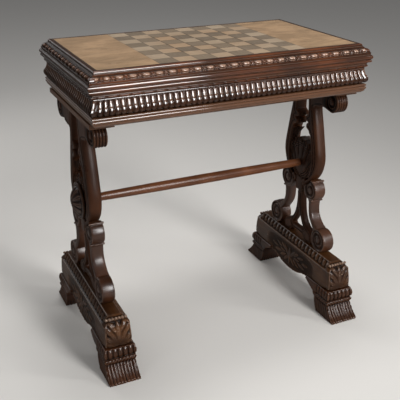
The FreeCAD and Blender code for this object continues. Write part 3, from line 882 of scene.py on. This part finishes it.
def beam_distances(x, y, z):
    """Distances from the beam's outline seen from the side and from its section."""
    side = placed(beam_side_shares, -beam_half_length, beam_height, foot_height)
    side.append((-beam_half_length * beam_notch_share, foot_height))
    side += placed(beam_apron_shares, -beam_half_length, beam_height, foot_height)
    section = placed(beam_section_shares, beam_half_width, beam_height, foot_height)
    d_side = outline_distance(closed(mirrored(side)), y, z)[None]
    d_section = outline_distance(closed(mirrored(section)), x - beam_centre, z)[:, None, :]
    return d_side, d_section


def bead_distance(x, gy, gz):
    """Distance from the middle of the nearest bead in the rows across the beam's ends."""
    bead_y = beam_half_length * bead_place_shares[0]
    bead_z = foot_height + beam_height * bead_place_shares[1]
    nearest = np.inf
    for k in range(bead_count):
        bead_x = beam_centre + (k - (bead_count - 1) / 2) * bead_pitch_share * bead_radius
        bead = np.sqrt((x - bead_x)[:, None, None] ** 2 + (np.abs(gy) - bead_y) ** 2 + (gz - bead_z) ** 2)
        nearest = np.minimum(nearest, bead)
    return nearest


def beam_field(x, y, z):
    """Runner beam: carved chamfers, leaf sprays on the sides, beads and a leaf at each end."""
    d_side, d_section = beam_distances(x, y, z)
    gx = np.abs(x - beam_centre)[:, None, None]
    gy, gz = y[None, :, None], z[None, None, :]
    near_end = share_of(np.abs(gy) / beam_half_length, *end_round_shares)
    field = round_edge(d_side, d_section, runner_round + (beam_end_round - runner_round) * near_end)
    t = (beam_high[2] - gz) / (beam_height * (1 - beam_chamfer_share))
    p = unit(gy + chamfer_slant * (t - 0.5), chamfer_pitch)
    egg = dome((p / chamfer_half_share) ** 2 + ((t - 0.5) / chamfer_half_share) ** 2)
    on_chamfer = (t > chamfer_shares[0]) & (t < chamfer_shares[1]) & (gx > beam_half_width / 2)
    on_chamfer = on_chamfer & (np.abs(gy) < chamfer_length_share * beam_half_length)
    chamfer = np.where(on_chamfer, 1 - egg, 0)
    across_side = d_section > d_side
    lift = gz - foot_height - panel_middle_share * beam_height
    panel_half, panel_rise = panel_length_share * beam_half_length, panel_height_share * beam_height
    ground = dome((gy / panel_half) ** 4 + (lift / panel_rise) ** 4)
    on_panel = across_side & (ground > 0)
    panel = np.where(on_panel, (1 - spray(gy, lift, side_leaves)) * ground, 0)
    on_end = ~across_side & (np.abs(gy) > end_start_share * beam_half_length)
    end = np.where(on_end, 1 - spray(gx, gz - foot_height - end_middle_share * beam_height, end_leaves), 0)
    bead_row = bead_distance(x, gy, gz)
    field = field + chamfer_depth * chamfer + panel_depth * panel + leaf_depth * end
    field = np.minimum(field, bead_row - bead_radius)
    # Painted shade on the lower end, beside the beads and in the hollows; wear and painted highlight on the
    # beads, the upper end's leaves and the crowns
    on_bead = bead_row < bead_radius + runner_cell / 2
    beside_bead = share_of(bead_row / bead_radius, *bead_groove_shares)
    upper = share_of((gz - foot_height) / beam_height, *end_upper_shares)
    end_wear_highlight = rub_and_highlight * np.maximum(bead_wear_highlight * on_bead, on_end * upper * share_of(1 - end, *end_wear_highlight_shares))
    low_end = low_end_shade * on_end * (1 - upper)
    end = np.where(on_bead, 0, np.maximum(np.maximum(end, low_end), beside_bead))
    hollow = np.maximum(chamfer_shade * chamfer, np.maximum(panel_shade * panel, end))
    rubbed_and_lit = np.maximum(chamfer_wear_highlight * on_chamfer * crown(egg), on_panel * crown(1 - panel) + end_wear_highlight)
    return field, hollow - rubbed_and_lit


def foot_field(x, y, z):
    """Foot: gadrooned band, rope line and reeded flare."""
    side, _ = trace(foot_side_shares, lambda s, h: (-foot_reach * s, foot_height * h), runner_cell)
    half, _ = trace(foot_front_shares, lambda s, h: (foot_band_half * s, foot_height * h), runner_cell)
    d_side = outline_distance(closed(side), y, z)[None]
    d_front = outline_distance(closed(mirrored(half)), x - beam_centre, z)[:, None, :]
    field = round_edge(d_side, d_front, runner_round)
    along = np.where(d_side > d_front, (x - beam_centre)[:, None, None], y[None, :, None] + foot_reach)
    gz = z[None, None, :] / foot_height
    heel = y[None, :, None] < -foot_heel_share * foot_reach
    band_low, rope_low = foot_front_shares[2][-1][1], foot_front_shares[3][-1][1]
    t = (gz - band_low) / (1 - band_low)
    low = share_of(t, foot_lobe_round_share, 0)
    lobe = dome((unit(along, foot_lobe_pitch) / foot_lobe_half_share) ** 2 + low ** 2)
    lobes = np.where((t > 0) & (t < foot_lobe_top_share), 1 - lobe, 0) * heel
    twist = unit(along + foot_height * gz, rope_pitch)
    on_rope = (gz > rope_low) & (gz <= band_low)
    rope = np.where(on_rope, 1 - dome((twist / flute_half_share) ** 2), 0) * heel
    high = share_of(gz, flute_top_share, rope_low)
    reed = dome((unit(along, flute_pitch) / flute_half_share) ** 2 + high ** 2)
    reeds = np.where(gz < rope_low, 1 - reed, 0) * heel
    field = field + foot_lobe_depth * lobes + rope_depth * rope + flute_depth * reeds
    # The lobes, rope and reeds take painted shade
    return field, np.maximum(lobes, np.maximum(rope, reeds))


def new_material(name):
    """Material with nodes, its node tree and its shader."""
    made = bpy.data.materials.new(name)
    made.use_nodes = True
    return made, made.node_tree, made.node_tree.nodes["Principled BSDF"]


def wire(tree, node, inputs):
    """Sets a node's sockets: constants as they are, and outputs of other nodes as links."""
    for name, value in inputs.items():
        if isinstance(value, bpy.types.NodeSocket):
            tree.links.new(value, node.inputs[name])
        else:
            node.inputs[name].default_value = value


def new_node(tree, kind, inputs, **settings):
    """Shader node with its own settings and its sockets set."""
    node = tree.nodes.new("ShaderNode" + kind)
    for name, value in settings.items():
        setattr(node, name, value)
    wire(tree, node, inputs)
    return node


def mix_colours(tree, factor, first, second):
    """Colour between two colours or colour outputs."""
    ends = [one if isinstance(one, bpy.types.NodeSocket) else (*one, 1) for one in (first, second)]
    node = new_node(tree, "Mix", {"Factor": factor, "A": ends[0], "B": ends[1]}, data_type="RGBA")
    return node.outputs["Result"]


def ramp(tree, value, low, high, start=0, end=1):
    """Value re-spread from between low and high to between start and end."""
    spread = {"Value": value, "From Min": low, "From Max": high, "To Min": start, "To Max": end}
    return new_node(tree, "MapRange", spread).outputs["Result"]


def noise(tree, coords, scale, stretch, swirl=0):
    """Noise over the object, stretched along its grain and bent by the swirl."""
    mapping = new_node(tree, "Mapping", {"Vector": coords, "Scale": stretch})
    node = new_node(tree, "TexNoise", {"Vector": mapping.outputs["Vector"], "Scale": scale,
                                       "Detail": noise_detail, "Distortion": swirl})
    return node.outputs["Fac"]


def wood(name, dark, light, wear_highlight_colour, grain, gloss, coat, figure=plain_figure, squares=None):
    """Polished wood: streaks along the grain, slow colour drift, painted shade in hollows and creases, and
    wear with painted highlight on crowns and pointed edges.
    figure is the streaks' scale and strength, and squares the colour that the board's squares lean to."""
    made, tree, shader = new_material(name)
    coords = new_node(tree, "TexCoord", {}).outputs["Object"]
    streaks = noise(tree, coords, figure[0], grain, streak_swirl)
    drift = noise(tree, coords, drift_scale, (1, 1, 1), drift_swirl)
    pores = noise(tree, coords, pore_scale, grain)
    colour = mix_colours(tree, ramp(tree, drift, 0.36, 0.64, 0.25), dark, light)
    colour = mix_colours(tree, ramp(tree, streaks, 0.43, 0.62, 0, figure[1]), colour, dark)
    if squares:
        cells = new_node(tree, "VectorMath", {0: coords, 1: [square * mm] * 3}, operation="SNAP")
        single = new_node(tree, "TexWhiteNoise", {"Vector": cells.outputs["Vector"]})
        lean = ramp(tree, single.outputs["Value"], 0, 1, 0, 0.9)
        colour = mix_colours(tree, lean, colour, squares)
        joints = new_node(tree, "TexBrick", {
            "Vector": coords, "Scale": 1, "Mortar Size": joint_width * mm / 2, "Mortar Smooth": 0.3,
            "Brick Width": square * mm, "Row Height": square * mm}, offset=0)
        colour = mix_colours(tree, joints.outputs["Fac"], colour, dark_brown)
    depth = new_node(tree, "Attribute", {}, attribute_name="hollow").outputs["Fac"]
    # Painted shade: deep points darken towards a fifth of the dark colour
    hollow = ramp(tree, depth, 0.15, 0.85, 0, 0.9)
    colour = mix_colours(tree, hollow, colour, [part / 5 for part in dark])
    # Wear and painted highlight: points below zero take the worn colour
    colour = mix_colours(tree, ramp(tree, depth, -rub_and_highlight, 0, 0.8, 0), colour, wear_highlight_colour)
    # Wear and painted highlight on pointed edges
    pointed = new_node(tree, "NewGeometry", {}).outputs["Pointiness"]
    rubbed_and_lit = ramp(tree, pointed, 0.51, 0.58, 0, 0.55)
    bump = new_node(tree, "Bump", {"Height": pores, "Strength": 0.1, "Distance": pore_depth * mm})
    wire(tree, shader, {
        "Base Color": mix_colours(tree, rubbed_and_lit, colour, wear_highlight_colour),
        "Roughness": ramp(tree, pores, 0.3, 0.7, 0.45, 0.65),
        "Specular IOR Level": 0.05,
        "Coat Weight": ramp(tree, depth, 0.1, 0.5, coat, coat / 6),
        "Coat IOR": coat_index,
        "Coat Roughness": ramp(tree, drift, 0.3, 0.7, 0.8 * gloss, 1.3 * gloss),
        "Normal": bump.outputs["Normal"],
    })
    return made


def metal(name, colour, tarnish, roughness):
    """Old metal: patches of tarnish and fine scratches."""
    made, tree, shader = new_material(name)
    coords = new_node(tree, "TexCoord", {}).outputs["Object"]
    patches = noise(tree, coords, patch_scale, (1, 1, 1))
    scratches = noise(tree, coords, scratch_scale, along_x)
    wire(tree, shader, {
        "Base Color": mix_colours(tree, ramp(tree, patches, 0.4, 0.7), colour, tarnish),
        "Roughness": ramp(tree, scratches, 0.3, 0.7, roughness - 0.1, roughness + 0.1),
        "Metallic": 1,
    })
    return made


# Woods and metals
carved_x = wood("carved wood along X", *carved_colours, along_x, gloss=0.10, coat=0.18)
lid_wood = wood("lid mouldings", *lid_colours, along_x, figure=quiet_figure, gloss=0.09, coat=0.22)
gadroons = wood("polished gadroons", *carved_colours, along_x, gloss=0.13, coat=0.36)
carved_y = wood("carved wood along Y", *carved_colours, along_y, gloss=0.18, coat=0.10)
beam_wood = wood("runner beams", *beam_colours, along_y, gloss=0.14, coat=0.11)
carved_z = wood("carved wood along Z", *carved_colours, along_z, gloss=0.34, coat=0.045)
scroll_wood = wood("scrolls", *carved_colours, along_z, gloss=0.32, coat=0.16)
turned = wood("turned wood", *turned_colours, along_x, gloss=0.24, coat=0.08)
light_square = wood("light squares", *light_square_colours, along_x, gloss=0.25, coat=0.06,
                    figure=fine_figure, squares=light_square_lean)
dark_square = wood("dark squares", *dark_square_colours, along_y, gloss=0.25, coat=0.06,
                   figure=fine_figure, squares=dark_square_lean)
side_veneer = wood("side veneer", *veneer_colours, short_grain, figure=cloudy_figure, gloss=0.25, coat=0.06)
border = wood("border strips", *border_colours, along_x, figure=fine_figure, gloss=0.20, coat=0.10)
inner = wood("unpolished inner wood", *inner_colours, along_x, figure=raw_figure, gloss=0.60, coat=0)
brass = metal("aged brass", *brass_colours, roughness=0.38)
steel = metal("screw steel", *steel_colours, roughness=0.42)

# Solids that keep their own shape, by what they are made of
kept = (
    (light_square, "board_light_squares"),
    (dark_square, "board_dark_squares"),
    (side_veneer, "veneer_panel_left veneer_panel_right"),
    (border, "field_border_strips"),
    (inner, "lid_panel well_floor corner_blocks beam_dowels_left beam_dowels_right"),
    (brass, "hinge_frame_leaves hinge_lid_leaves hinge_pins"),
    (steel, "hinge_frame_screws hinge_lid_screws cleat_screws"),
    (turned, "stretcher"),
    (carved_x, "base_moulding_front base_moulding_back"),
    (carved_y, "base_moulding_left base_moulding_right cleat_left cleat_right"),
)
for material, nodes in kept:
    for node in nodes.split():
        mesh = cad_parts[node].data
        mesh.materials.clear()
        mesh.materials.append(material)

# Mouldings
lid_bottom, lid_step = lid_low[2] + skin, panel_low[2]
lid_inner = [(-lid_ledge, lid_bottom), (-lid_ledge, lid_step), (0, lid_step)]
add_mouldings("lid_moulding", "lid", lid_wood, swept_sides(
    lid_profile_shares, lid_projection, lid_thickness - skin, table_top, lid_inner, carve_lid))
frieze_top = frieze_high[2] - skin
frieze_inner = [(-frieze_inset, frieze_low[2]), (-frieze_inset, frieze_top)]
add_mouldings("frieze", "stand", gadroons, swept_sides(
    frieze_profile_shares, frieze_projection, frieze_height - skin, frieze_top, frieze_inner, carve_frieze))

# Ends and runners: made once at the front right and mirrored
quarters = (("front_right", (1, 1)), ("back_right", (1, -1)),
            ("front_left", (-1, 1)), ("back_left", (-1, -1)))
halves = (("right", (1, 1)), ("left", (-1, 1)))
for kind, field, cell, places, material in (
        ("lyre_arm", arm_field, end_cell, quarters, carved_z),
        ("scroll", scroll_field, end_cell, quarters, scroll_wood),
        ("lyre_web", web_field, end_cell, halves, carved_z),
        ("wishbone", wishbone_field, end_cell, halves, carved_z),
        ("runner_beam", beam_field, runner_cell, halves, beam_wood),
        ("foot", foot_field, runner_cell, quarters, carved_y)):
    low, high = node_box(kind + "_" + places[0][0])
    shape = sampled(low, high, cell, field)
    for place, flip in places:
        add_piece(kind + "_" + place, "stand", material, shape, flip)
shape = make_boss()
for place, flip in halves:
    add_piece("boss_" + place, "stand", carved_x, shape, flip)

# Pale floor
floor = new_object("floor", np.array([(-1, -1, 0), (1, -1, 0), (1, 1, 0), (-1, 1, 0)]) * floor_size / 2,
                   np.array([(0, 1, 2, 3)]))
pale, pale_tree, pale_shader = new_material("pale floor")
wire(pale_tree, pale_shader, {"Base Color": floor_colour, "Roughness": 0.7, "Specular IOR Level": 0})
floor.data.materials.append(pale)

# Soft studio light
world = bpy.data.worlds.new("studio")
world.use_nodes = True
sky = {"Color": world_colour, "Strength": world_strength}
wire(world.node_tree, world.node_tree.nodes["Background"], sky)
scene.world = world
for name, (place, width, height, power, spread) in lamps.items():
    lamp = bpy.data.lights.new(name, "AREA")
    lamp.shape = "RECTANGLE"
    lamp.size = width * mm
    lamp.size_y = height * mm
    lamp.energy = power
    lamp.spread = math.radians(spread)
    hung = bpy.data.objects.new(name, lamp)
    hung.location = Vector(place) * mm
    hung.rotation_euler = (Vector(lamp_target) - Vector(place)).to_track_quat("-Z", "Y").to_euler()
    scene.collection.objects.link(hung)

# Camera
camera_data = bpy.data.cameras.new("camera")
camera_data.sensor_width = sensor_width
camera_data.lens = focal_pixels / image_pixels * sensor_width
camera_data.clip_end = floor_size * mm
camera = bpy.data.objects.new("camera", camera_data)
scene.collection.objects.link(camera)
camera.matrix_world = (Matrix.Translation(Vector(camera_place) * mm)
                       @ Matrix.Rotation(math.radians(camera_azimuth), 4, "Z")
                       @ Matrix.Rotation(math.radians(90 - camera_elevation), 4, "X")
                       @ Matrix.Rotation(math.radians(camera_roll), 4, "Z"))
scene.camera = camera
scene.view_settings.view_transform = "Standard"
